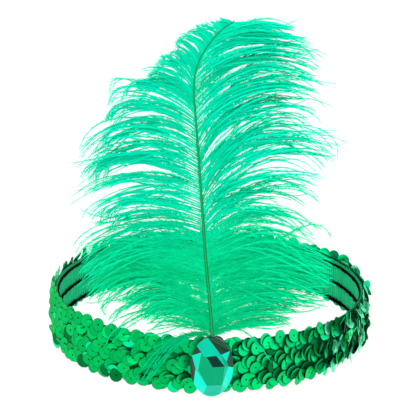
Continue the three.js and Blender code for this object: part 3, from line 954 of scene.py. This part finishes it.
def barb_paths(side, table, rng):
    """The centre lines of one side's barbs, gathered into locks: (count, steps, 3), their roots and tones."""
    root = barb_roots(side, rng)
    count = len(root)
    lock = lock_numbers(count, rng)
    strand = np.arange(count) // STRAND_SIZE
    shared = rng.uniform(-1, 1, (lock.max() + 1, 6))[lock]
    stray = rng.random(count) < STRAY_SHARE * (2 - downiness(root))
    own = rng.normal(0, 1, (count, 4)) * np.where(stray, 2.6, 1.0)[:, None]
    drift, reach_drift = drift_line(root, rng), drift_line(root, rng)
    start, _ = quill_at(root)
    downy = downiness(root)
    hanging_share = HANGING_SHARE * (1 - 0.5 * root / HANGING_ROOT)
    hanging = (side < 0) & (root < HANGING_ROOT) & (rng.random(lock.max() + 1)[lock] < hanging_share)
    stir = barb_table(table, root, "stir")
    short = np.clip(barb_table(table, root, "reach") / 0.8, 0.15, 1)
    reach = barb_table(table, root, "reach") * PLUME_REACH
    reach = reach * (1 + 0.06 * shared[:, 0] + 0.05 * reach_drift) * (1 - 0.3 * rng.random(count) ** 2)
    rise = barb_table(table, root, "rise") * PLUME_HEIGHT
    tress = np.arange(count) // TRESS_SIZE
    swept = rng.uniform(-1, 1, (tress.max() + 1, 4))[tress]
    swept_rise = DRIFT_PER_STIR * drift + TRESS_RISE_PER_DEG * swept[:, 0]
    shift = stir * (LOCK_RISE_PER_DEG * shared[:, 1] + swept_rise * (1 - 0.6 * downy))
    rise = rise + short * (shift + OWN_RISE * own[:, 0] * (1 + 2 * downy))
    reach = reach * np.where(hanging, HANGING_REACH - 0.5 * root / HANGING_ROOT, 1.0)
    rise = rise - HANGING_DROP * hanging * (1 - 0.5 * root / HANGING_ROOT) * rng.uniform(0.75, 1.15, count)
    first, last = UPSWEPT_ROOTS
    upswept = (side > 0) & (root > first) & (root < last) & (rng.random(lock.max() + 1)[lock] < UPSWEPT_SHARE)
    rise = rise + UPSWEPT_RISE * upswept
    reach = reach * np.where(upswept, UPSWEPT_REACH, 1.0)
    thinned = (side > 0) * ease(root, THINNED_FROM, first) * (1 - ease(root, last, last + THINNING_FADE))
    thinned = OUTER_THINNING * thinned * (1 + ease(-root, -THINNEST_TO, -first))
    reach = reach * (1 - thinned * rng.random(lock.max() + 1)[lock])
    first, last = HOOKED_ROOTS
    hooked = (side < 0) & (root > first) & (root < last) & (rng.random(lock.max() + 1)[lock] < HOOKED_SHARE)
    reach = reach * np.where(hooked, HOOKED_REACH, 1.0)
    foot = np.clip(1 - root / FOOT_SHARE, 0, 1)
    stirred = shared[:, 2] + swept[:, 1] * (1 - 0.6 * downy)
    leave = barb_table(table, root, "leave") + LEAVE_STIR * stir * stirred
    leave = leave + own[:, 1] * (1.5 + 3.5 * downy)
    leave = leave - HANGING_LEAVE_DEG * hanging + UPSWEPT_LEAVE_DEG * upswept
    leave = np.radians(leave + foot * FOOT_FAN_DEG * rng.uniform(-1, 1, count))
    curled = 0.8 * shared[:, 3] + 0.4 * swept[:, 2]
    end = barb_table(table, root, "end") + barb_table(table, root, "curl") * curled
    end = end + own[:, 2] * (7 + 5 * downy) - HOOKED_END_DEG * hooked - HANGING_END_DEG * hanging
    end = np.radians(end)
    zero = np.zeros(count)
    tip = start + np.stack([side * reach, zero, rise], -1)
    span = np.hypot(reach, rise)
    leaving = np.stack([side * np.cos(leave), zero, np.sin(leave)], -1)
    ending = np.stack([side * np.cos(end), zero, np.sin(end)], -1)
    steps = np.linspace(0, 1, BARB_STEPS)
    leaving_handle = (span * rng.uniform(0.36, 0.5, lock.max() + 1)[lock])[:, None]
    ending_handle = (span * rng.uniform(0.26, 0.42, lock.max() + 1)[lock])[:, None]
    paths = bezier(start, start + leaving * leaving_handle, tip - ending * ending_handle, tip, steps)
    tufted = ease(root, TUFT_SHARE, TUFT_SHARE + 0.1) if side < 0 else np.zeros(count)
    free = (np.where(stray, 0.0, 0.75 + 0.25 * shared[:, 5]) * (1 - 0.7 * tufted))[:, None]
    strand_pull = STRAND_GATHER * ease(steps, 0.0, 0.08)[None] * free
    paths = paths + (group_centres(paths, strand) - paths) * strand_pull[..., None]
    lock_pull = (ROOT_GATHER * ease(steps, 0.12, 0.4) + TIP_GATHER * ease(steps, 0.45, 0.95))[None] * free
    lock_pull = lock_pull * (1 - 0.5 * downy)[:, None]
    paths = paths + (group_centres(paths, lock) - paths) * lock_pull[..., None]
    tress_pull = TRESS_GATHER * ease(steps, 0.35, 0.9)[None] * free * (1 - downy)[:, None]
    paths = paths + (group_centres(paths, tress) - paths) * tress_pull[..., None]
    paths[..., 2] = np.maximum(paths[..., 2], LOWEST_BARB)
    wave = rng.uniform(0, 2 * math.pi, (count, 2))
    swing = (short * rng.uniform(0.2, 1.2, count) * (1 + downy))[:, None] * MM * steps[None] ** 1.5
    paths[..., 2] += swing * np.sin(wave[:, :1] + steps * rng.uniform(3, 7, count)[:, None])
    paths[..., 0] += 0.5 * swing * np.sin(wave[:, 1:] + steps * rng.uniform(3, 7, count)[:, None])
    depth = LOCK_DEPTH * (0.6 * shared[:, 4] + 0.7 * swept[:, 3]) + 1.2 * MM * own[:, 3]
    forward = (short * depth)[:, None] * steps[None] ** 1.3
    lean = lean_at((paths[..., 2] - BAND_TOP) / PLUME_HEIGHT) - lean_at(root)[:, None]
    free_y = paths[..., 1] + lean + forward
    low = np.clip((BAND_TOP + DRAPE_HEIGHT - paths[..., 2]) / DRAPE_HEIGHT, 0, 1)
    reached = np.clip(4 * steps, 0, 1)[None]
    front = drape_front(paths[..., 0]) + np.clip(forward, None, 0) * 0.5
    paths[..., 1] = free_y + (front - free_y) * low * reached
    return paths, root, shared[:, 1] + UPSWEPT_TONE * upswept


def barbules(paths, root, rng):
    """Fine hairs along the barbs, each a closed flat blade of four faces."""
    lengths = np.linalg.norm(np.diff(paths, axis=1), axis=-1).sum(1)
    spacing = BARBULE_SPACING + (DOWNY_SPACING - BARBULE_SPACING) * downiness(root)
    per_barb = np.maximum(8, (lengths / spacing).astype(int))
    barb = np.repeat(np.arange(len(paths)), per_barb)
    downy = downiness(root)[barb]
    total = len(barb)
    t = 0.97 * rng.random(total)
    at = t * (BARB_STEPS - 1)
    low = np.minimum(at.astype(int), BARB_STEPS - 2)
    mix = (at - low)[:, None]
    base = paths[barb, low] * (1 - mix) + paths[barb, low + 1] * mix
    along = paths[barb, low + 1] - paths[barb, low]
    along /= np.linalg.norm(along, axis=-1, keepdims=True) + 1e-12
    across = np.cross(along, [0.0, 1.0, 0.0])
    across /= np.linalg.norm(across, axis=-1, keepdims=True) + 1e-12
    over = np.cross(across, along)
    spin = rng.uniform(0, 2 * math.pi, total)
    away = across * np.cos(spin)[:, None] + over * (0.55 * np.sin(spin))[:, None]
    open_angle = np.radians(rng.uniform(4, 22 + 24 * downy, total)) * (1 - 0.85 * ease(t, 0.3, 0.9))
    direction = along * np.cos(open_angle)[:, None] + away * np.sin(open_angle)[:, None]
    grown = ease(t * lengths[barb], 0, np.minimum(2.5 * BARE_LENGTH, 0.4 * lengths[barb]))
    grown = np.maximum(grown, 0.5 * downy)
    reach = np.minimum(BARBULE_LENGTH, 0.25 * lengths[barb])
    reach = reach * (0.2 + 0.8 * grown) * (1 - 0.3 * t) * rng.uniform(0.5, 1.15, total)
    tip = base + direction * reach[:, None]
    width = BARBULE_WIDTH * rng.uniform(0.7, 1.25, total) * (1 - 0.4 * t)
    flat = np.cross(direction, [0.0, 1.0, 0.0])
    flat /= np.linalg.norm(flat, axis=-1, keepdims=True) + 1e-12
    thin = np.cross(flat, direction)
    corners = [
        base + flat * width[:, None],
        base - flat * width[:, None],
        base + thin * (0.6 * width)[:, None],
    ]
    points = np.stack([*corners, tip], 1)
    one = np.array([[0, 2, 1], [0, 1, 3], [1, 2, 3], [2, 0, 3]])
    faces = (one[None] + np.arange(total)[:, None, None] * 4).reshape(-1, 3)
    return points, faces, t, barb


def barb_colours(root, tone):
    """Colours of points of barbs with these roots: bluer higher up, and from shade to light by tone."""
    downy = downiness(root)[:, None]
    shade = UPPER_SHADE + (LOWER_SHADE - UPPER_SHADE) * downy
    light = UPPER_LIGHT + (LOWER_LIGHT - UPPER_LIGHT) * downy
    return shade + (light - shade) * np.clip(tone, 0, 1)[:, None]


def plume_side(name, side, table, seed):
    rng = np.random.default_rng(seed)
    paths, root, lock_tone = barb_paths(side, table, rng)
    lock_tone = LOCK_TONE * lock_tone
    foot = FOOT_SHADE * np.clip(1 - root / FOOT_SHADE_SHARE, 0, 1)
    steps = np.linspace(0, 1, BARB_STEPS)
    widest = BARB_RADIUS + (DOWNY_BARB_RADIUS - BARB_RADIUS) * downiness(root)
    widths = [[BARB_ROOT_RADIUS, wide, wide, BARB_TIP_RADIUS] for wide in widest]
    radii = np.stack([np.interp(steps, BARB_WIDTH_STEPS, width) for width in widths])
    for part, (first, last) in PLUME_PARTS.items():
        chosen = (root >= first) & (root < last)
        points, faces = tubes(paths[chosen], radii[chosen], BARB_SIDES)
        tone = BARB_TONE + TONE_ALONG * steps[None] + lock_tone[chosen, None]
        tone = tone - foot[chosen, None] * (1 - steps[None])
        colours = barb_colours(np.repeat(root[chosen], BARB_STEPS), tone.ravel())
        hair_points, hair_faces, t, barb = barbules(paths[chosen], root[chosen], rng)
        hair_tone = HAIR_TONE + TONE_ALONG * t + (lock_tone[chosen] - foot[chosen] * 0.6)[barb]
        hair_tone = hair_tone + rng.normal(0, HAIR_TONE_SPREAD, len(t))
        hair_colours = barb_colours(root[chosen][barb], hair_tone)
        faces = faces + (hair_faces + len(points)).tolist()
        all_points = np.concatenate([points, hair_points.reshape(-1, 3)])
        tints = np.concatenate([np.repeat(colours, BARB_SIDES, 0), np.repeat(hair_colours, 4, 0)])
        piece = mesh_piece(f"{name}_{part}", all_points, faces, BARBS, smooth=False, tints=tints)
        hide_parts("plume")


def stage():
    """A plain pale floor, soft light from all round and above, and the camera."""
    bpy.ops.mesh.primitive_plane_add(size=12)
    floor = bpy.context.object
    floor.name = "floor"
    material, nodes, links = new_material("floor")
    nodes["Principled BSDF"].inputs["Base Color"].default_value = (0.22, 0.22, 0.22, 1)
    nodes["Principled BSDF"].inputs["Roughness"].default_value = 0.9
    nodes["Principled BSDF"].inputs["Emission Color"].default_value = (1, 1, 1, 1)
    nodes["Principled BSDF"].inputs["Emission Strength"].default_value = 0.85
    floor.data.materials.append(material)
    world = bpy.data.worlds.new("world")
    bpy.context.scene.world = world
    world.use_nodes = True
    world.node_tree.nodes["Background"].inputs["Color"].default_value = (1, 1, 1, 1)
    world.node_tree.nodes["Background"].inputs["Strength"].default_value = 0.9
    for place, power, size in (((-0.7, -0.9, 1.2), 9, 0.9), ((0.9, -0.5, 1.0), 4, 0.8)):
        light = bpy.data.lights.new("soft_light", "AREA")
        light.energy = power
        light.size = size
        lamp = bpy.data.objects.new("soft_light", light)
        lamp.location = place
        aim = Vector((0, 0, 0.08)) - Vector(place)
        lamp.rotation_euler = aim.to_track_quat("-Z", "Y").to_euler()
        bpy.context.scene.collection.objects.link(lamp)
    camera = bpy.data.cameras.new("camera")
    camera.sensor_width = SENSOR_WIDTH
    camera.lens = SENSOR_WIDTH * FOCAL_PIXELS / FRAME_PIXELS
    camera.clip_start = 0.05
    seen = bpy.data.objects.new("camera", camera)
    seen.location = CAMERA_PLACE
    pitch = math.radians(CAMERA_PITCH_DEG)
    roll = math.radians(CAMERA_ROLL_DEG)
    turned = Vector((0, math.cos(pitch), -math.sin(pitch)))
    seen.rotation_mode = "QUATERNION"
    upright = turned.to_track_quat("-Z", "Y")
    seen.rotation_quaternion = Quaternion(turned, -roll) @ upright
    bpy.context.scene.collection.objects.link(seen)
    bpy.context.scene.camera = seen
    bpy.context.scene.view_settings.view_transform = "Standard"


stage()
fabric_band()
# light is how much painted light lifts a chain's discs, most on the top chain
CHAINS = {
    "bottom": {
        "shift": OUTER_SHIFT, "rise": OUTER_RISE, "back_lift": 0.0, "nod": -4, "light": 0.2,
        "stitch": 1.05 * MM, "seed": 20,
    },
    "middle": {
        "shift": 0.0, "rise": MIDDLE_RISE, "back_lift": 0.0, "nod": 1, "light": 0.4,
        "stitch": 0.95 * MM, "seed": 21,
    },
    "top": {
        "shift": TOP_EDGE_LIFT - OUTER_SHIFT, "rise": OUTER_RISE, "back_lift": 1.3 * MM, "nod": 14,
        "light": 1.0, "stitch": 0.7 * MM, "seed": 22,
    },
}
for (name, chain), height in zip(CHAINS.items(), LINE_HEIGHTS):
    rng = np.random.default_rng(chain["seed"])
    elastic_line(f"stitching_{name}", f"elastic_line_{name}", height, chain["stitch"], rng)
    sequin_chain(f"sequins_{name}", height + chain["shift"], chain)
stone()
quill()
plume_side("barbs_left", -1, LEFT_BARBS, 7)
plume_side("barbs_right", 1, RIGHT_BARBS, 8)
